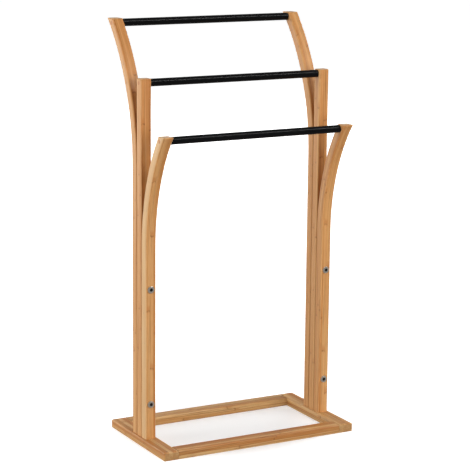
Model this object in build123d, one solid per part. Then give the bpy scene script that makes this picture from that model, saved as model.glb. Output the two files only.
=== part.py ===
from build123d import *
import os
from math import sqrt

# Towel rack, in millimetres, +Z up, +X to the right and -Y to the front.
# A bamboo base frame carries a stack of three bamboo posts at each end, bolted together from
# front to back. The rear posts lean back and the front posts lean forward at the top, and a
# black steel rail joins each pair of posts. Everything is drawn with the base frame centred on
# X = Y = 0, then moved as one so that the origin is the bottom centre of the bounding box.

# Base frame
base_width = 420.0
base_depth = 240.0
board_width = 31.0
board_thickness = 17.0
board_round = 3.0  # top edges
board_ease = 0.8  # bottom edges
board_corner = 1.6  # plan corners of the side boards

# Posts
post_width = 22.0  # along X
post_depth = 20.0  # along Y
post_inset = 4.0  # post's outer face, in from the base's side face
post_round = 3.0  # long edges
top_round = 1.2  # edges of the cut top
posts = {
    "rear": {"y": post_depth, "lean": 1, "bend_start": 543.5, "bend_radius": 405.0, "top": 820.0},
    "middle": {"y": 0.0, "lean": 0, "bend_start": None, "bend_radius": None, "top": 717.0},
    "front": {"y": -post_depth, "lean": -1, "bend_start": 395.0, "bend_radius": 375.0, "top": 618.5},
}

# Rails: steel tubes with a threaded insert in each end
rail_diameter = 15.0
rail_wall = 1.2
rail_drop = 8.5  # rail axis below the top of its posts
insert_length = 18.0
insert_slip = 0.05  # radial gap of the insert in the tube
insert_bore = 5.0
insert_bevel = 0.8

# Screws that hold the rails, sunk in the posts' outer faces behind bamboo plugs
rail_screw_diameter = 4.9
rail_screw_hole = 5.4
rail_screw_reach = 12.0  # length inside the insert
rail_screw_head = (7.6, 2.8)  # diameter, height
rail_screw_head_round = 0.6
rail_screw_socket = (3.0, 1.8)  # across flats, depth
counterbore = (8.0, 7.0)  # diameter, depth
hole_plug = (7.9, 4.0)  # diameter, thickness

# Bolts and sleeve nuts that clamp each stack of posts
bolt_heights = (87.0, 315.0)
bolt_diameter = 5.9
bolt_hole = 6.6
bolt_length = 54.0
furniture_head = (14.0, 2.0)  # diameter, height of the bolt's and the nut's head
furniture_head_round = 1.1
bolt_socket = (5.0, 3.0)  # across flats, depth
nut_socket = (5.0, 2.4)
sleeve_diameter = 8.6
sleeve_hole = 9.0
sleeve_length = 18.0
sleeve_bore = 6.0
sleeve_bore_depth = 16.0

# Wood screws up through the side boards into the feet of the posts
base_screw_diameter = 4.5
base_screw_hole = 4.7
base_screw_head = 8.6
base_screw_length = 48.0
base_screw_point = 5.0  # length of the tapered end
base_screw_tip = 0.6  # diameter of its blunt tip
base_screw_sunk = 0.6
base_screw_socket = (3.0, 1.6)
hole_end_room = 1.0  # blind holes run this much past what they hold

# Dowels that join the boards, two at each corner
dowel_diameter = 6.0
dowel_hole = 6.1
dowel_length = 30.0
dowel_bevel = 0.6
dowel_spacing = 14.0

# Derived places
stack_depth = 3 * post_depth
post_offset = base_width / 2 - post_inset - post_width / 2  # post middle, out from X = 0
rail_length = 2 * post_offset - post_width
cross_length = base_width - 2 * board_width
joint_x = cross_length / 2
sides = {"left": -1, "right": 1}
upward = (0, 0, 1)
standing = (Align.CENTER, Align.CENTER, Align.MIN)  # centred in plan, bottom face at the start


def post_y(post, offset, z):
    """Y, at height z, of the line that runs offset behind the middle of the post."""
    if not post["lean"] or z <= post["bend_start"]:
        return post["y"] + offset
    arc_radius = post["bend_radius"] - post["lean"] * offset
    centre_y = post["y"] + post["lean"] * post["bend_radius"]
    return centre_y - post["lean"] * sqrt(arc_radius**2 - (z - post["bend_start"]) ** 2)


def rail_place(post):
    """Y and Z of the axis of the rail that this pair of posts carries."""
    z = post["top"] - rail_drop
    return post_y(post, 0, z), z


def rod(start, direction, length, diameter):
    """Cylinder from a start point along a direction."""
    return Plane(origin=start, z_dir=direction) * Cylinder(diameter / 2, length, align=standing)


def hex_socket(size, z):
    """Hexagonal hole in the end face at height z, cut towards +Z."""
    across_flats, depth = size
    return Pos(0, 0, z) * extrude(RegularPolygon(across_flats / 2, 6, major_radius=False), depth)


# Base frame


def base_board(width, depth, rounded_ends):
    """Board lying on the floor, centred: its long edges are rounded, and its ends too if asked."""

    def rims(board, which):
        edges = board.faces().sort_by(Axis.Z)[which].edges()
        return edges if rounded_ends else edges.filter_by(Axis.X)

    board = Box(width, depth, board_thickness, align=standing)
    if rounded_ends:
        board = fillet(board.edges().filter_by(Axis.Z), board_corner)
    board = fillet(rims(board, -1), board_round)
    return chamfer(rims(board, 0), board_ease)


def dowel_ys(end):
    """Y of the two dowels at the front (-1) or rear (1) corners."""
    middle = end * (base_depth - board_width) / 2
    return middle - dowel_spacing / 2, middle + dowel_spacing / 2


def dowel_bores():
    """Every dowel hole of the base, to be cut from the boards."""
    length = dowel_length + hole_end_room
    bores = []
    for side in sides.values():
        for end in (-1, 1):
            for y in dowel_ys(end):
                start = (side * joint_x - length / 2, y, board_thickness / 2)
                bores.append(rod(start, (1, 0, 0), length, dowel_hole))
    return bores


def corner_dowels(side, end):
    """The two dowels of one corner."""
    dowels = []
    for y in dowel_ys(end):
        start = (side * joint_x - dowel_length / 2, y, board_thickness / 2)
        dowel = rod(start, (1, 0, 0), dowel_length, dowel_diameter)
        dowels.append(chamfer(dowel.edges().filter_by(GeomType.CIRCLE), dowel_bevel))
    return dowels


def side_board(side):
    """Side board, full depth, with the dowel holes and the countersunk screw holes."""
    board = Pos(side * (base_width - board_width) / 2, 0, 0) * base_board(board_width, base_depth, True)
    board -= dowel_bores()
    drop = (base_screw_head - base_screw_hole) / 2
    cone = Cone(base_screw_head / 2, base_screw_hole / 2, drop, align=standing)
    for post in posts.values():
        foot = (side * post_offset, post["y"], 0)
        board -= rod(foot, upward, base_screw_sunk, base_screw_head)
        board -= Pos(*foot) * Pos(0, 0, base_screw_sunk) * cone
        board -= rod(foot, upward, board_thickness, base_screw_hole)
    return board


def cross_board(end):
    """Front (-1) or rear (1) board, between the side boards."""
    board = Pos(0, end * (base_depth - board_width) / 2, 0) * base_board(cross_length, board_width, False)
    return board - dowel_bores()


# Posts


def long_edge(post, offset):
    """One long side of the post's side view, from its foot up to the cut top."""
    heights = [board_thickness, post["top"]]
    if post["lean"]:
        heights.insert(1, post["bend_start"])
    points = [(post_y(post, offset, z), z) for z in heights]
    lines = [Line(points[0], points[1])]
    if post["lean"]:
        halfway = (post["bend_start"] + post["top"]) / 2
        lines.append(ThreePointArc(points[1], (post_y(post, offset, halfway), halfway), points[2]))
    return lines


def post_blank(post):
    """Post at X = 0: straight or bent, cut level at the top, with rounded edges."""
    front, back = long_edge(post, -post_depth / 2), long_edge(post, post_depth / 2)
    ends = [Line(front[0] @ 0, back[0] @ 0), Line(front[-1] @ 1, back[-1] @ 1)]
    outline = make_face(front + back + ends)
    blank = extrude(Plane.YZ * outline, post_width / 2, both=True)
    arrises = [edge for edge in blank.faces().filter_by(Axis.X).edges() if edge.length > post_depth * 2]
    blank = fillet(arrises, post_round)
    return fillet(blank.faces().sort_by(Axis.Z)[-1].edges(), top_round)


def post_part(side, name):
    """One post with its bolt holes, rail screw hole and foot hole."""
    post = posts[name]
    part = Pos(side * post_offset, 0, 0) * post_blank(post)
    front_face = post["y"] - post_depth / 2
    for z in bolt_heights:
        diameter = sleeve_hole if name == "rear" else bolt_hole
        part -= rod((side * post_offset, front_face, z), (0, 1, 0), post_depth, diameter)
    rail_y, rail_z = rail_place(post)
    outer = side * (post_offset + post_width / 2)
    inward = (-side, 0, 0)
    part -= rod((outer, rail_y, rail_z), inward, post_width, rail_screw_hole)
    part -= rod((outer, rail_y, rail_z), inward, counterbore[1], counterbore[0])
    foot_depth = base_screw_sunk + base_screw_length - board_thickness + hole_end_room
    foot = (side * post_offset, post["y"], board_thickness)
    return part - rod(foot, upward, foot_depth, base_screw_hole)


# Rails


def rail(post):
    """Tube from post to post."""
    y, z = rail_place(post)
    start = (-rail_length / 2, y, z)
    tube = rod(start, (1, 0, 0), rail_length, rail_diameter)
    return tube - rod(start, (1, 0, 0), rail_length, rail_diameter - 2 * rail_wall)


def rail_inserts(post):
    """The threaded insert in each end of a rail."""
    y, z = rail_place(post)
    diameter = rail_diameter - 2 * rail_wall - 2 * insert_slip
    inserts = []
    for side in sides.values():
        start, inward = (side * rail_length / 2, y, z), (-side, 0, 0)
        insert = rod(start, inward, insert_length, diameter)
        inner_rim = insert.edges().filter_by(GeomType.CIRCLE).sort_by(Axis.X)[0 if side > 0 else -1]
        insert = chamfer(inner_rim, insert_bevel)
        inserts.append(insert - rod(start, inward, insert_length, insert_bore))
    return inserts


# Fasteners, each drawn along +Z with the bearing face of its head at Z = 0


def headed_pin(head, head_round, socket, diameter, length):
    """Round head with a hexagonal socket, below Z = 0, and a plain shank above it."""
    head_diameter, head_height = head
    disc = rod((0, 0, -head_height), upward, head_height, head_diameter)
    disc = fillet(disc.edges().filter_by(GeomType.CIRCLE).sort_by(Axis.Z)[0], head_round)
    return disc + rod((0, 0, 0), upward, length, diameter) - hex_socket(socket, -head_height)


def rail_screws(side):
    """The three screws that hold the rails to one stack of posts."""
    length = post_width - counterbore[1] + rail_screw_reach
    screw = headed_pin(
        rail_screw_head, rail_screw_head_round, rail_screw_socket, rail_screw_diameter, length
    )
    seat = side * (post_offset + post_width / 2 - counterbore[1])
    inward = (-side, 0, 0)
    return [Plane(origin=(seat, *rail_place(post)), z_dir=inward) * screw for post in posts.values()]


def hole_plugs(side):
    """The bamboo plugs that close the counterbores, flush with the posts."""
    diameter, thickness = hole_plug
    outer = side * (post_offset + post_width / 2)
    inward = (-side, 0, 0)
    return [rod((outer, *rail_place(post)), inward, thickness, diameter) for post in posts.values()]


def post_bolts(side):
    """The bolts through one stack, heads on the front face."""
    bolt = headed_pin(furniture_head, furniture_head_round, bolt_socket, bolt_diameter, bolt_length)
    x, front_face = side * post_offset, -stack_depth / 2
    return [Plane(origin=(x, front_face, z), z_dir=(0, 1, 0)) * bolt for z in bolt_heights]


def sleeve_nuts(side):
    """The sleeve nuts on the back face of one stack."""
    nut = headed_pin(furniture_head, furniture_head_round, nut_socket, sleeve_diameter, sleeve_length)
    nut -= rod((0, 0, sleeve_length), (0, 0, -1), sleeve_bore_depth, sleeve_bore)
    x, back_face = side * post_offset, stack_depth / 2
    return [Plane(origin=(x, back_face, z), z_dir=(0, -1, 0)) * nut for z in bolt_heights]


def base_screws(side):
    """The countersunk wood screws under one stack."""
    slope = (base_screw_head - base_screw_diameter) / 2
    shank_end = base_screw_length - base_screw_point
    point = Cone(base_screw_diameter / 2, base_screw_tip / 2, base_screw_point, align=standing)
    screw = Cone(base_screw_head / 2, base_screw_diameter / 2, slope, align=standing)
    screw += rod((0, 0, 0), upward, shank_end, base_screw_diameter)
    screw += Pos(0, 0, shank_end) * point
    screw -= hex_socket(base_screw_socket, 0)
    return [Pos(side * post_offset, post["y"], base_screw_sunk) * screw for post in posts.values()]


def build_rack():
    """Every node of the rack, by name."""
    nodes = {}
    for end_name, end in (("front", -1), ("rear", 1)):
        nodes[f"base_{end_name}_board"] = [cross_board(end)]
        for side_name, side in sides.items():
            nodes[f"{end_name}_{side_name}_dowels"] = corner_dowels(side, end)
    for side_name, side in sides.items():
        nodes[f"base_{side_name}_board"] = [side_board(side)]
        nodes[f"{side_name}_rail_screws"] = rail_screws(side)
        nodes[f"{side_name}_hole_plugs"] = hole_plugs(side)
        nodes[f"{side_name}_post_bolts"] = post_bolts(side)
        nodes[f"{side_name}_sleeve_nuts"] = sleeve_nuts(side)
        nodes[f"{side_name}_base_screws"] = base_screws(side)
        for name in posts:
            nodes[f"{side_name}_{name}_post"] = [post_part(side, name)]
    for name, post in posts.items():
        nodes[f"{name}_rail"] = [rail(post)]
        nodes[f"{name}_rail_inserts"] = rail_inserts(post)
    return nodes


def export_rack(nodes):
    """Move the rack so that its bounding box is centred on X = Y = 0, and write each node."""
    os.makedirs("parts", exist_ok=True)
    solids = [solid for group in nodes.values() for part in group for solid in part.solids()]
    bounds = Compound(solids).bounding_box()
    to_origin = Pos(-bounds.center().X, -bounds.center().Y, -bounds.min.Z)
    for name, group in nodes.items():
        node_solids = [to_origin * solid for part in group for solid in part.solids()]
        shape = node_solids[0] if len(node_solids) == 1 else Compound(node_solids)
        export_step(shape, f"parts/{name}.step")
    print("size", bounds.size, "moved", to_origin.position)


export_rack(build_rack())
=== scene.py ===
import math

import bmesh
import bpy
from mathutils import Matrix, Vector


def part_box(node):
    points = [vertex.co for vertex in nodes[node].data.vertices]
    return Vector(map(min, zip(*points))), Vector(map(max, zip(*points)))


# Bamboo towel rack with three black steel rails. Metres, Z up, front towards -Y.

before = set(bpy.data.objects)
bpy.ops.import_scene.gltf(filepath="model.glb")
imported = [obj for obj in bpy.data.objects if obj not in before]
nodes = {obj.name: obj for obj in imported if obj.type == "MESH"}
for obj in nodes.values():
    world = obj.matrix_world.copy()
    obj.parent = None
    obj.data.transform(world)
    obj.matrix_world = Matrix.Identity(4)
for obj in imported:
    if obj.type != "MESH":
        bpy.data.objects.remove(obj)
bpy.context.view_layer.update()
print("frame loaded:", len(nodes), "nodes")


# helpers for node trees: wherever they take a value, it is either a socket or a plain number

def newNode(tree, kind, **settings):
    node = tree.nodes.new(kind)
    for name, value in settings.items():
        setattr(node, name, value)
    return node


def feed(tree, socket, value):
    # a socket is linked, anything else is set as its value
    if isinstance(value, bpy.types.NodeSocket):
        tree.links.new(value, socket)
    else:
        socket.default_value = value


def feedAll(tree, node, values):
    for socket, value in zip(node.inputs, values):
        feed(tree, socket, value)
    return node.outputs[0]


def maths(tree, operation, *values):
    return feedAll(tree, newNode(tree, "ShaderNodeMath", operation=operation), values)


def add(tree, first, second):
    return maths(tree, "ADD", first, second)


def minus(tree, first, second):
    return maths(tree, "SUBTRACT", first, second)


def times(tree, first, second):
    return maths(tree, "MULTIPLY", first, second)


def magnitude(tree, value):
    return maths(tree, "ABSOLUTE", value)


def hypotenuse(tree, first, second):
    return maths(tree, "SQRT", add(tree, times(tree, first, first), times(tree, second, second)))


def remap(tree, value, fromLow, fromHigh, toLow=0.0, toHigh=1.0):
    node = newNode(tree, "ShaderNodeMapRange", interpolation_type="SMOOTHSTEP")
    return feedAll(tree, node, (value, fromLow, fromHigh, toLow, toHigh))


def joinXyz(tree, x, y, z):
    return feedAll(tree, newNode(tree, "ShaderNodeCombineXYZ"), (x, y, z))


def splitXyz(tree, point):
    node = newNode(tree, "ShaderNodeSeparateXYZ")
    tree.links.new(point, node.inputs[0])
    return node.outputs[0], node.outputs[1], node.outputs[2]


def objectXyz(tree):
    # every piece sits at the origin, so its object coordinates are places in the rack
    return splitXyz(tree, newNode(tree, "ShaderNodeTexCoord").outputs["Object"])


def normalXyz(tree):
    return splitXyz(tree, newNode(tree, "ShaderNodeNewGeometry").outputs["Normal"])


def stretched(tree, x, y, z, scales, shift=0.0):
    # a point with its own scale on each axis, for long thin noise
    parts = [times(tree, value, scale) for value, scale in zip((x, y, z), scales)]
    return joinXyz(tree, parts[0], parts[1], add(tree, parts[2], shift))


def noise(tree, point, detail=2.0, roughness=0.5):
    node = newNode(tree, "ShaderNodeTexNoise")
    feed(tree, node.inputs["Vector"], point)
    node.inputs["Scale"].default_value = 1.0
    node.inputs["Detail"].default_value = detail
    node.inputs["Roughness"].default_value = roughness
    return node.outputs["Fac"]


def mixColour(tree, share, first, second, blend="MIX"):
    node = newNode(tree, "ShaderNodeMix", data_type="RGBA", blend_type=blend)
    feed(tree, node.inputs["Factor"], share)
    for name, colour in (("A", first), ("B", second)):
        isSocket = isinstance(colour, bpy.types.NodeSocket)
        feed(tree, node.inputs[name], colour if isSocket else (*colour, 1.0))
    return node.outputs["Result"]


def newFinish(name):
    finish = bpy.data.materials.new(name)
    finish.use_nodes = True
    tree = finish.node_tree
    return finish, tree, tree.nodes["Principled BSDF"]


def setConstants(shader, constants):
    for name, value in constants.items():
        shader.inputs[name].default_value = value


def bumpInto(tree, shader, height, strength, distance):
    bump = newNode(tree, "ShaderNodeBump")
    setConstants(bump, {"Strength": strength, "Distance": distance})
    tree.links.new(height, bump.inputs["Height"])
    tree.links.new(bump.outputs["Normal"], shader.inputs["Normal"])


def dress(nodeName, finish):
    slots = nodes[nodeName].data.materials
    slots.clear()
    slots.append(finish)


def middleAndHalf(nodeName):
    # middle of a piece's box, and half its size each way
    low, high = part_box(nodeName)
    return (low + high) / 2, (high - low) / 2


# bamboo: thin glued strips, long fibres, knuckles, satin lacquer

bamboo = {
    "paleStrip": (0.730, 0.380, 0.145),
    "honeyStrip": (0.610, 0.258, 0.076),
    "amberStrip": (0.520, 0.176, 0.042),
    "darkFibre": (0.235, 0.080, 0.021),
    "knuckleTone": (0.270, 0.090, 0.025),
    "wornAndLitEdge": (0.760, 0.455, 0.220),
    "sideSheenTone": (0.710, 0.475, 0.250),
    "grooveShadeTone": (0.190, 0.066, 0.020),
    "edgeRound": 0.003,  # of the boards and posts
    "seedStep": 7.31,
    # strips, each way across the piece: size, offset of the first one, and its change with the seed
    "layers": (0.0051, 40.5, 0.37),
    "rows": (0.0079, 30.2, 0.61),
    "glueLine": (0.455, 0.5),  # from the middle of a strip to its border
    # fibres: scales across, through and along the piece, detail, roughness, shift along it
    "fibres": {
        "clouds": ((170, 170, 3.2), 2.0, 0.5, 0.0),
        "streaks": ((640, 640, 6.5), 3.0, 0.62, 0.0),
        "fine": ((2600, 2600, 42), 1.5, 0.5, 0.0),
        "patches": ((60, 60, 22), 3.0, 0.5, 3.1),
    },
    "dashes": (0.56, 0.72),  # the part of the fine fibres that shows as dark dashes
    # knuckles
    "knuckleSpacing": 0.262,
    "knuckleScatter": 3.0,  # the furthest that a strip's knuckles are moved along, in spacings
    "bowWaves": 420.0,
    "bowHeight": 0.0011,
    "waver": 0.010,
    "ring": (0.0026, 0.0005),  # from its edge to its core
    "ringBreaks": (0.36, 0.58, 0.25, 1.0),
    "haloOffset": 0.0040,
    "haloReach": 0.0110,
    # tones, from pale to honey to amber
    "middleTone": 0.59,
    "cloudTones": 0.80,
    "stripTones": 0.38,
    "honeyFrom": (0.34, 0.62),
    "amberFrom": (0.60, 0.86),
    "darkLines": (0.50, 0.72),
    "darkLineShare": 0.66,
    "darkLineMost": 0.95,
    "paleLines": (0.45, 0.27, 0.0, 0.75),
    "shares": {"dashes": 0.42, "halo": 0.48, "ring": 0.75, "seam": 0.36, "rowSeam": 0.16},
    # painted sheen on the sides, sawn ends, worn corners with a painted highlight, and painted shade in the
    # grooves
    "sheenStreaks": (0.30, 0.62),
    "sheenLeast": 0.58,
    "endFacing": (0.86, 0.97),
    "endDots": (0.66, 0.42),
    "cornerReach": (0.1, 0.75),  # of the round
    "wearPatches": (0.38, 0.64, 0.05, 0.42),
    "grooveReach": (0.75, 0.05),  # of the round, in from the side
    "grooveFade": (0.12, -0.02),  # along the piece, from where the two part
    # gloss and relief
    "leastRoughness": 0.39,
    "roughness": {"patches": 0.10, "dashes": 0.07, "wearAndHighlight": -0.07},
    "relief": {"streaks": 0.55, "dashes": -0.22, "halo": 0.35, "ring": -0.30, "seam": -0.40},
    "bumpStrength": 0.55,
    "bumpDistance": 0.00022,
    "shine": {"Specular IOR Level": 0.36, "Coat Weight": 0.06, "Coat Roughness": 0.30},
}


def stripCell(tree, value, strips, seed):
    # number of the strip a point lies in, and a thin mask on the glue line between two strips
    size, firstOffset, seedOffset = strips
    count = add(tree, maths(tree, "DIVIDE", value, size), firstOffset + seed * seedOffset)
    fromMiddle = magnitude(tree, minus(tree, maths(tree, "FRACT", count), 0.5))
    return maths(tree, "FLOOR", count), remap(tree, fromMiddle, *bamboo["glueLine"])


def bambooStrips(tree, across, through, seed):
    # the two glue line masks, and two chances that each strip draws for itself
    layer, seam = stripCell(tree, through, bamboo["layers"], seed)
    row, rowSeam = stripCell(tree, across, bamboo["rows"], seed)
    draw = newNode(tree, "ShaderNodeTexWhiteNoise", noise_dimensions="3D")
    feed(tree, draw.inputs["Vector"], joinXyz(tree, layer, row, seed * bamboo["seedStep"]))
    knuckleChance, toneChance = splitXyz(tree, draw.outputs["Color"])[:2]
    return {"seam": seam, "rowSeam": rowSeam}, knuckleChance, toneChance


def bambooFibres(tree, place, seed):
    masks = {}
    for name, (scales, detail, roughness, shift) in bamboo["fibres"].items():
        point = stretched(tree, *place, scales, seed * bamboo["seedStep"] + shift)
        masks[name] = noise(tree, point, detail, roughness)
    masks["dashes"] = remap(tree, masks["fine"], *bamboo["dashes"])
    return masks


def bambooKnuckles(tree, across, along, streaks, chance):
    # a bowed, broken ring in each strip, with a browner swelling beside it
    waves = maths(tree, "SINE", times(tree, across, bamboo["bowWaves"]))
    bow = times(tree, waves, bamboo["bowHeight"])
    waver = times(tree, minus(tree, streaks, 0.5), bamboo["waver"])
    ringPlace = add(tree, add(tree, along, bow), waver)
    spacings = maths(tree, "DIVIDE", ringPlace, bamboo["knuckleSpacing"])
    spacings = add(tree, spacings, times(tree, chance, bamboo["knuckleScatter"]))
    fromRing = minus(tree, maths(tree, "FRACT", spacings), 0.5)
    fromRing = times(tree, fromRing, bamboo["knuckleSpacing"])
    ring = remap(tree, magnitude(tree, fromRing), *bamboo["ring"])
    ring = times(tree, ring, remap(tree, streaks, *bamboo["ringBreaks"]))
    fromHalo = magnitude(tree, minus(tree, fromRing, bamboo["haloOffset"]))
    return {"ring": ring, "halo": remap(tree, fromHalo, bamboo["haloReach"], 0.0)}


def bambooColour(tree, masks, toneChance, contrast):
    clouds = times(tree, minus(tree, masks["clouds"], 0.5), bamboo["cloudTones"] * contrast)
    strips = times(tree, minus(tree, toneChance, 0.5), bamboo["stripTones"] * contrast)
    tone = add(tree, add(tree, clouds, strips), bamboo["middleTone"])
    honey = remap(tree, tone, *bamboo["honeyFrom"])
    colour = mixColour(tree, honey, bamboo["paleStrip"], bamboo["honeyStrip"])
    colour = mixColour(tree, remap(tree, tone, *bamboo["amberFrom"]), colour, bamboo["amberStrip"])
    lineShare = min(bamboo["darkLineShare"] * contrast, bamboo["darkLineMost"])
    darkLines = remap(tree, masks["streaks"], *bamboo["darkLines"], 0.0, lineShare)
    colour = mixColour(tree, darkLines, colour, bamboo["darkFibre"])
    paleLines = remap(tree, masks["streaks"], *bamboo["paleLines"])
    colour = mixColour(tree, paleLines, colour, bamboo["paleStrip"])
    tones = {"halo": bamboo["amberStrip"], "ring": bamboo["knuckleTone"]}
    for name, share in bamboo["shares"].items():
        part = times(tree, masks[name], share)
        colour = mixColour(tree, part, colour, tones.get(name, bamboo["darkFibre"]))
    return colour


def paintSideSheen(tree, colour, across, size, streaks, sideSheen):
    # painted sheen: the two side faces and their rounded corners are paled towards a whiter tone, broken up
    # along the streaks
    halfAcross, edgeRound = size[0], size[2]
    outer = remap(tree, magnitude(tree, across), halfAcross - edgeRound, halfAcross)
    least = bamboo["sheenLeast"] * sideSheen
    paled = remap(tree, streaks, *bamboo["sheenStreaks"], sideSheen, least)
    return mixColour(tree, times(tree, outer, paled), colour, bamboo["sideSheenTone"])


def sawnEnds(tree, colour, fine, axis, tone, share):
    # sawn ends have their own tone, and keep the dots of the cut fibres
    facing = magnitude(tree, normalXyz(tree)["XYZ".index(axis)])
    dots = remap(tree, fine, *bamboo["endDots"], 0.5 * share, share)
    sawn = times(tree, remap(tree, facing, *bamboo["endFacing"]), dots)
    return mixColour(tree, sawn, colour, tone)


def wornAndLitCorners(tree, across, through, size, patches):
    # the rounded corners are a little paler and smoother from handling, in patches, and the paler colour also
    # paints a highlight along them
    halfAcross, halfThrough, edgeRound = size
    cornerAcross = minus(tree, magnitude(tree, across), halfAcross - edgeRound)
    cornerThrough = minus(tree, magnitude(tree, through), halfThrough - edgeRound)
    reach = [share * edgeRound for share in bamboo["cornerReach"]]
    corner = remap(tree, maths(tree, "MINIMUM", cornerAcross, cornerThrough), *reach)
    return times(tree, corner, remap(tree, patches, *bamboo["wearPatches"]))


def paintGrooveShade(tree, colour, through, along, size, groove):
    # painted shade where two pieces lie side by side, in the groove between them
    side, partHeight, strength = groove
    halfThrough, edgeRound = size[1:]
    reach = [halfThrough - share * edgeRound for share in bamboo["grooveReach"]]
    depth = remap(tree, times(tree, through, side), *reach, 0.0, strength)
    fade = [partHeight + offset for offset in bamboo["grooveFade"]]
    return mixColour(tree, times(tree, depth, remap(tree, along, *fade)), colour, bamboo["grooveShadeTone"])


def weighted(tree, masks, weights):
    # the sum of some masks, each times its weight
    total = 0.0
    for name, weight in weights.items():
        total = add(tree, total, times(tree, masks[name], weight))
    return total


def bambooFinish(name, grain, size, seed, piece, endAxis, grooves=(), sideSheen=0.0):
    # grain(tree) gives (across, through, along) in metres, measured from the middle line of the piece
    # size is (half across, half through, round of the edges)
    # piece holds its tint and contrast, and the tone and share of its sawn ends, which face endAxis
    # grooves are (side, height, strength) of painted shade: where it lies against a neighbour, and how far up
    # the last argument sets how strongly a painted sheen pales its two side faces
    finish, tree, shader = newFinish(name)
    across, through, along = grain(tree)
    masks, knuckleChance, toneChance = bambooStrips(tree, across, through, seed)
    masks.update(bambooFibres(tree, (across, through, along), seed))
    masks.update(bambooKnuckles(tree, across, along, masks["streaks"], knuckleChance))

    colour = bambooColour(tree, masks, toneChance, piece["contrast"])
    if sideSheen:
        colour = paintSideSheen(tree, colour, across, size, masks["streaks"], sideSheen)
    colour = sawnEnds(tree, colour, masks["fine"], endAxis, piece["sawnTone"], piece["sawnShare"])
    masks["wearAndHighlight"] = wornAndLitCorners(tree, across, through, size, masks["patches"])
    colour = mixColour(tree, masks["wearAndHighlight"], colour, bamboo["wornAndLitEdge"])
    for groove in grooves:
        colour = paintGrooveShade(tree, colour, through, along, size, groove)
    colour = mixColour(tree, 1.0, colour, piece["tint"], blend="MULTIPLY")
    tree.links.new(colour, shader.inputs["Base Color"])

    rough = add(tree, weighted(tree, masks, bamboo["roughness"]), bamboo["leastRoughness"])
    tree.links.new(rough, shader.inputs["Roughness"])
    relief = weighted(tree, masks, bamboo["relief"])
    bumpInto(tree, shader, relief, bamboo["bumpStrength"], bamboo["bumpDistance"])
    setConstants(shader, bamboo["shine"])
    return finish


# base boards

baseBoards = {
    "tint": (0.90, 1.03, 1.11),
    "sawnTone": (0.50, 0.25, 0.095),
    "sawnShare": 0.7,
    "contrast": 1.55,
    "seeds": {"front": 2, "rear": 5, "left": 9, "right": 14},
}


def boardGrain(middle, runsAlong):
    def grain(tree):
        x, y, z = objectXyz(tree)
        fromX = minus(tree, x, middle.x)
        fromY = minus(tree, y, middle.y)
        height = minus(tree, z, middle.z)
        return (fromY, height, fromX) if runsAlong == "X" else (fromX, height, fromY)

    return grain


def dressBoard(side, seed):
    boardName = f"base_{side}_board"
    runsAlong = "X" if side in ("front", "rear") else "Y"
    middle, half = middleAndHalf(boardName)
    halfWidth = half.y if runsAlong == "X" else half.x
    size = (halfWidth, half.z, bamboo["edgeRound"])
    grain = boardGrain(middle, runsAlong)
    finish = bambooFinish(f"bamboo {side} board", grain, size, seed, baseBoards, runsAlong)
    dress(boardName, finish)


for side, seed in baseBoards["seeds"].items():
    dressBoard(side, seed)
print("base boards finished")


# posts, whose grain follows the bent tops

posts = {
    "tint": (0.95, 0.965, 0.94),
    "contrast": 0.88,
    # the pale sawn tone of the post tops is end grain, with a painted sheen on top
    "sawnTone": (0.90, 0.66, 0.42),
    "sawnShare": 0.8,
    "bends": {  # lean, height where the bend starts, radius of the middle line
        "rear": (1, 0.5435, 0.405),
        "middle": (0, 0.0, 0.0),
        "front": (-1, 0.395, 0.375),
    },
    "grooveShadeStrengths": {"rear": 0.40, "front": 0.22},  # against the middle post
    # painted sheen on the side faces, strongest on the left front post
    "sideSheen": {"left_front_post": 0.95},  # the rest have the fainter share below
    "sideSheenShare": 0.28,
    "seeds": {
        "left_rear_post": 21,
        "left_middle_post": 33,
        "left_front_post": 46,
        "right_rear_post": 81,
        "right_middle_post": 93,
        "right_front_post": 109,
    },
}


def postGrain(nodeName, bend, halfDepth):
    lean, bendStart, bendRadius = bend
    low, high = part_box(nodeName)
    middle = (low + high) / 2
    # the foot of a post stands straight, so its middle is half a post in from the straight face
    footY = {1: low.y + halfDepth, -1: high.y - halfDepth, 0: middle.y}[lean]

    def grain(tree):
        x, y, z = objectXyz(tree)
        across = minus(tree, x, middle.x)
        if not lean:
            return across, minus(tree, y, footY), z
        fromCentre = times(tree, minus(tree, y, footY + lean * bendRadius), -lean)
        climbed = minus(tree, z, bendStart)
        above = maths(tree, "MAXIMUM", climbed, 0.0)
        below = maths(tree, "MINIMUM", climbed, 0.0)
        reach = hypotenuse(tree, fromCentre, above)
        through = times(tree, minus(tree, bendRadius, reach), lean)
        turn = maths(tree, "ARCTAN2", above, fromCentre)
        along = add(tree, times(tree, turn, bendRadius), below)
        return across, through, add(tree, along, bendStart)

    return grain


def groovesOf(name):
    # a post lies against its neighbour up to where the bent one of the two starts to lean away
    seams = {bent: (posts["bends"][bent][1], strength) for bent, strength in posts["grooveShadeStrengths"].items()}
    if name == "middle":
        return [(1, *seams["rear"]), (-1, *seams["front"])]
    return [(-posts["bends"][name][0], *seams[name])]


def dressPost(side, name):
    postName = f"{side}_{name}_post"
    straightHalf = middleAndHalf(f"{side}_middle_post")[1]  # all three have the section of the straight one
    size = (straightHalf.x, straightHalf.y, bamboo["edgeRound"])
    grain = postGrain(postName, posts["bends"][name], straightHalf.y)
    sideSheen = posts["sideSheen"].get(postName, posts["sideSheenShare"])
    finish = bambooFinish(
        f"bamboo {side} {name} post",
        grain,
        size,
        posts["seeds"][postName],
        posts,
        "Z",
        groovesOf(name),
        sideSheen,
    )
    dress(postName, finish)


for side in ("left", "right"):
    for name in posts["bends"]:
        dressPost(side, name)
print("posts finished")


# bamboo plugs over the rail screws, end grain outwards

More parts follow.
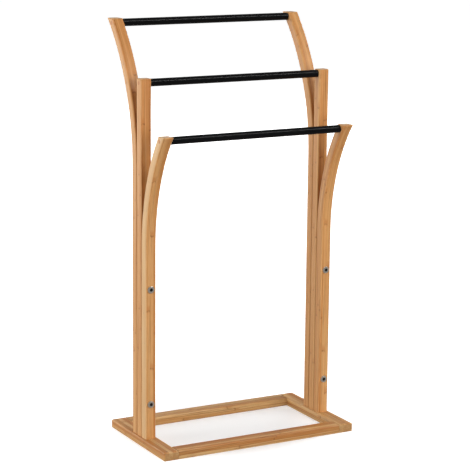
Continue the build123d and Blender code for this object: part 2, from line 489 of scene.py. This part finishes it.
plugs = {
    "size": (1.0, 1.0, 0.001),  # so large that no worn corner falls on them
    "tint": (0.88, 0.80, 0.72),
    "sawnTone": (0.50, 0.24, 0.09),
    "sawnShare": 0.4,
    "contrast": 1.0,
    "seeds": {"left": 71, "right": 77},
}


def plugGrain(tree):
    x, y, z = objectXyz(tree)
    return y, z, x


for side, seed in plugs["seeds"].items():
    plugFinish = bambooFinish(f"bamboo {side} plugs", plugGrain, plugs["size"], seed, plugs, "X")
    dress(f"{side}_hole_plugs", plugFinish)
print("plugs finished")


# beech dowels inside the corners

dowels = {
    "pale": (0.62, 0.43, 0.24),
    "deep": (0.47, 0.29, 0.14),
    "fibres": (60, 900, 900),
    "deepFrom": (0.35, 0.7),
    "roughness": (0.2, 0.8, 0.55, 0.72),
    "bumpStrength": 0.4,
    "bumpDistance": 0.0002,
}


def dowelFinish():
    finish, tree, shader = newFinish("beech dowel")
    fibres = noise(tree, stretched(tree, *objectXyz(tree), dowels["fibres"]), detail=3.0)
    deep = remap(tree, fibres, *dowels["deepFrom"])
    colour = mixColour(tree, deep, dowels["pale"], dowels["deep"])
    tree.links.new(colour, shader.inputs["Base Color"])
    tree.links.new(remap(tree, fibres, *dowels["roughness"]), shader.inputs["Roughness"])
    bumpInto(tree, shader, fibres, dowels["bumpStrength"], dowels["bumpDistance"])
    return finish


beech = dowelFinish()
for corner in ("front_left", "front_right", "rear_left", "rear_right"):
    dress(f"{corner}_dowels", beech)
print("dowels finished")


# rails: black powder coat on steel tube

rails = {
    "coat": (0.0024, 0.0024, 0.0027),
    "rubbed": (0.009, 0.009, 0.010),
    "orangePeel": 1500,
    "grit": 5200,
    "rubs": (26, 120, 120),
    "rubShift": 4.2,
    "topFacing": (0.35, 0.95),
    "rubPatches": (0.45, 0.66),
    "rubShare": 0.35,
    "gritRange": (0.58, 0.78, 0.0, 0.25),
    "roughness": 0.18,
    "peelRoughness": 0.06,
    "rubGloss": 0.04,
    "gritRelief": 0.3,
    "bumpStrength": 0.14,
    "bumpDistance": 0.00006,
    "shine": {"Specular IOR Level": 0.13},
}


def railFinish():
    finish, tree, shader = newFinish("black powder coat")
    place = objectXyz(tree)
    peel = noise(tree, stretched(tree, *place, (rails["orangePeel"],) * 3))
    grit = noise(tree, stretched(tree, *place, (rails["grit"],) * 3), detail=1.0)
    rubs = noise(tree, stretched(tree, *place, rails["rubs"], rails["rubShift"]), detail=4.0, roughness=0.6)
    onTop = remap(tree, normalXyz(tree)[2], *rails["topFacing"])  # cloth slides over the top of the rail
    rubbed = times(tree, onTop, remap(tree, rubs, *rails["rubPatches"]))
    rubShare = times(tree, rubbed, rails["rubShare"])
    colour = mixColour(tree, rubShare, rails["coat"], rails["rubbed"])
    colour = mixColour(tree, remap(tree, grit, *rails["gritRange"]), colour, rails["rubbed"])
    tree.links.new(colour, shader.inputs["Base Color"])
    rough = add(tree, times(tree, peel, rails["peelRoughness"]), rails["roughness"])
    rough = minus(tree, rough, times(tree, rubbed, rails["rubGloss"]))
    tree.links.new(rough, shader.inputs["Roughness"])
    height = add(tree, peel, times(tree, grit, rails["gritRelief"]))
    bumpInto(tree, shader, height, rails["bumpStrength"], rails["bumpDistance"])
    setConstants(shader, rails["shine"])
    return finish


blackCoat = railFinish()
for name in ("front", "middle", "rear"):
    dress(f"{name}_rail", blackCoat)
print("rails finished")


# bolts and sleeve nuts: bright nickel with turning marks round each head, and painted shade in each socket

boltHeads = {
    "metal": (0.80, 0.74, 0.65),
    "dull": (0.52, 0.46, 0.38),
    "socketShade": (0.035, 0.033, 0.03),
    "socket": (0.0036, 0.0029),  # from its rim to its flat
    "socketShare": 0.9,
    "turning": 5200,
    "stains": 420,
    "scratches": (900, 900, 5200),
    "stainRange": (0.48, 0.72, 0.0, 0.55),
    "roughness": 0.24,
    "stainRoughness": 0.16,
    "turningRoughness": 0.06,
    "turningRelief": 0.6,
    "scratchRelief": 0.25,
    "bumpStrength": 0.35,
    "bumpDistance": 0.00005,
}


def fromHeadAxis(tree, x, z):
    # distance from the axis of the nearest head; two heads stand one over the other in each stack
    middle, half = middleAndHalf("right_post_bolts")
    spacing = 2 * (half.z - half.x)  # half.x is the radius of a head
    aside = minus(tree, magnitude(tree, x), middle.x)
    climbed = minus(tree, z, middle.z - spacing)
    upFrom = minus(tree, maths(tree, "FLOORED_MODULO", climbed, spacing), spacing / 2)
    return hypotenuse(tree, aside, upFrom)


def nickelFinish():
    finish, tree, shader = newFinish("bright nickel")
    x, y, z = objectXyz(tree)
    outFrom = fromHeadAxis(tree, x, z)
    turning = noise(tree, joinXyz(tree, times(tree, outFrom, boltHeads["turning"]), 0.0, 0.0))
    stains = noise(tree, stretched(tree, x, y, z, (boltHeads["stains"],) * 3), detail=3.0)
    scratches = noise(tree, stretched(tree, x, y, z, boltHeads["scratches"]))
    stained = remap(tree, stains, *boltHeads["stainRange"])
    colour = mixColour(tree, stained, boltHeads["metal"], boltHeads["dull"])
    # painted shade: the hex socket in each head is darkened
    inSocket = times(tree, remap(tree, outFrom, *boltHeads["socket"]), boltHeads["socketShare"])
    colour = mixColour(tree, inSocket, colour, boltHeads["socketShade"])
    tree.links.new(colour, shader.inputs["Base Color"])
    rough = add(tree, times(tree, stains, boltHeads["stainRoughness"]), boltHeads["roughness"])
    rough = add(tree, rough, times(tree, turning, boltHeads["turningRoughness"]))
    tree.links.new(rough, shader.inputs["Roughness"])
    rings = times(tree, turning, boltHeads["turningRelief"])
    height = add(tree, rings, times(tree, scratches, boltHeads["scratchRelief"]))
    bumpInto(tree, shader, height, boltHeads["bumpStrength"], boltHeads["bumpDistance"])
    setConstants(shader, {"Metallic": 1.0})
    return finish


nickel = nickelFinish()


# screws and inserts: zinc plate, blue-grey and blotchy

zincParts = {
    "bright": (0.56, 0.58, 0.61),
    "dull": (0.36, 0.37, 0.38),
    "yellowed": (0.52, 0.49, 0.40),
    "blotches": 260,
    "spangle": 2400,
    "dullFrom": (0.42, 0.64),
    "yellowRange": (0.55, 0.8, 0.0, 0.4),
    "roughness": (0.3, 0.7, 0.28, 0.46),
    "bumpStrength": 0.3,
    "bumpDistance": 0.00005,
}


def zincFinish():
    finish, tree, shader = newFinish("zinc plate")
    place = objectXyz(tree)
    blotches = noise(tree, stretched(tree, *place, (zincParts["blotches"],) * 3), detail=4.0, roughness=0.6)
    spangle = noise(tree, stretched(tree, *place, (zincParts["spangle"],) * 3), detail=1.0)
    dulled = remap(tree, blotches, *zincParts["dullFrom"])
    colour = mixColour(tree, dulled, zincParts["bright"], zincParts["dull"])
    yellowed = remap(tree, spangle, *zincParts["yellowRange"])
    colour = mixColour(tree, yellowed, colour, zincParts["yellowed"])
    tree.links.new(colour, shader.inputs["Base Color"])
    tree.links.new(remap(tree, blotches, *zincParts["roughness"]), shader.inputs["Roughness"])
    bumpInto(tree, shader, spangle, zincParts["bumpStrength"], zincParts["bumpDistance"])
    setConstants(shader, {"Metallic": 1.0})
    return finish


zinc = zincFinish()
for side in ("left", "right"):
    for name in ("post_bolts", "sleeve_nuts"):
        dress(f"{side}_{name}", nickel)
    for name in ("rail_screws", "base_screws"):
        dress(f"{side}_{name}", zinc)
for name in ("front", "middle", "rear"):
    dress(f"{name}_rail_inserts", zinc)
print("fasteners finished")


# floor, which glows, less near the rack as a painted shade round it, and more away from it so that it runs
# into the white room

paleFloor = {
    "radius": 60.0,
    "segments": 96,
    "tones": ((0.80, 0.80, 0.80), (0.788, 0.788, 0.788)),
    "mottle": (9, 9, 9),
    "glowReach": (0.12, 0.30),
    "nearGlow": 0.25,
    "farGlow": 0.80,
    "surface": {"Roughness": 0.9, "Specular IOR Level": 0.1, "Emission Color": (1.0, 1.0, 1.0, 1.0)},
}


def floorFinish():
    finish, tree, shader = newFinish("pale floor")
    x, y, z = objectXyz(tree)
    mottle = noise(tree, stretched(tree, x, y, z, paleFloor["mottle"]), detail=3.0)
    tree.links.new(mixColour(tree, mottle, *paleFloor["tones"]), shader.inputs["Base Color"])
    setConstants(shader, paleFloor["surface"])
    away = hypotenuse(tree, x, y)
    # painted shade: the glow is dimmer close to the rack
    glow = remap(tree, away, *paleFloor["glowReach"], paleFloor["nearGlow"], paleFloor["farGlow"])
    tree.links.new(glow, shader.inputs["Emission Strength"])
    return finish


def layFloor():
    mesh = bpy.data.meshes.new("paleFloor")
    work = bmesh.new()
    bmesh.ops.create_circle(work, cap_ends=True, segments=paleFloor["segments"], radius=paleFloor["radius"])
    work.to_mesh(mesh)
    work.free()
    floor = bpy.data.objects.new("paleFloor", mesh)
    bpy.context.scene.collection.objects.link(floor)
    mesh.materials.append(floorFinish())
    floor.visible_diffuse = False  # the room stands in for its bounce, so the wood keeps its contrast
    floor.visible_glossy = False


layFloor()
print("floor laid")


# light

lamps = {  # gloss False keeps a lamp out of the sheen of flat tops seen from across the room
    "front": {"at": (0.6, -3.7, 1.15), "size": (2.0, 2.0), "power": 81, "gloss": False},
    "left": {"at": (-6.0, 0.3, 1.7), "size": (3.6, 3.6), "power": 292, "gloss": False},
    "backLeft": {"at": (-2.2, 3.6, 0.9), "size": (3.4, 2.4), "power": 44, "gloss": True},
    "back": {"at": (1.4, 4.6, 1.5), "size": (3.0, 2.0), "power": 70, "gloss": False},
    "right": {"at": (4.6, 0.9, 1.4), "size": (3.0, 2.4), "power": 120, "gloss": False},
    "strip": {"at": (1.4, -1.95, 2.5), "size": (1.8, 0.18), "power": 24, "gloss": True},
}
lookAt = Vector((0.0, 0.0, 0.42))

sky = {"heights": (-0.1, 0.9), "low": 0.31, "high": 0.24}


def hangLamps():
    for name, lamp in lamps.items():
        light = bpy.data.lights.new(name, "AREA")
        light.shape = "RECTANGLE"
        light.size, light.size_y = lamp["size"]
        light.energy = lamp["power"]
        holder = bpy.data.objects.new(name, light)
        holder.location = lamp["at"]
        holder.rotation_mode = "QUATERNION"
        holder.rotation_quaternion = (lookAt - holder.location).to_track_quat("-Z", "Y")
        holder.visible_camera = False
        holder.visible_glossy = lamp["gloss"]
        bpy.context.scene.collection.objects.link(holder)


def softSky():
    # an even white room, a little dimmer overhead
    world = bpy.data.worlds.new("white room")
    world.use_nodes = True
    tree = world.node_tree
    direction = splitXyz(tree, newNode(tree, "ShaderNodeTexCoord").outputs["Generated"])
    level = remap(tree, direction[2], *sky["heights"], sky["low"], sky["high"])
    # the room is plain white where it is seen directly
    seen = newNode(tree, "ShaderNodeLightPath").outputs["Is Camera Ray"]
    level = maths(tree, "MAXIMUM", level, seen)
    tree.links.new(level, tree.nodes["Background"].inputs["Strength"])
    tree.nodes["Background"].inputs["Color"].default_value = (1.0, 1.0, 1.0, 1.0)
    bpy.context.scene.world = world


hangLamps()
softSky()
print("studio ready")


# camera

cameraPlace = {
    "azimuth": -28.567,
    "pitch": 11.779,
    "roll": 0.557,
    "distance": 3.5612,
    "lens": 138.70,
    "sensor": 36.0,
    "clipEnd": 200.0,
    "target": (0.003153, -0.0106357, 0.398329),
}


def setCamera():
    turn, tip, roll = (math.radians(cameraPlace[key]) for key in ("azimuth", "pitch", "roll"))
    back = Vector((math.sin(turn) * math.cos(tip), -math.cos(turn) * math.cos(tip), math.sin(tip)))
    right = Vector((math.cos(turn), math.sin(turn), 0.0))
    up = back.cross(right)
    rolledRight = right * math.cos(roll) + up * math.sin(roll)
    rolledUp = up * math.cos(roll) - right * math.sin(roll)
    lens = bpy.data.cameras.new("view")
    lens.lens = cameraPlace["lens"]
    lens.sensor_width = cameraPlace["sensor"]
    lens.clip_end = cameraPlace["clipEnd"]
    camera = bpy.data.objects.new("view", lens)
    place = Vector(cameraPlace["target"]) + back * cameraPlace["distance"]
    axes = Matrix((rolledRight, rolledUp, back)).transposed()
    camera.matrix_world = Matrix.Translation(place) @ axes.to_4x4()
    bpy.context.scene.collection.objects.link(camera)
    bpy.context.scene.camera = camera


setCamera()
bpy.context.scene.view_settings.view_transform = "Standard"
bpy.context.scene.view_settings.look = "None"
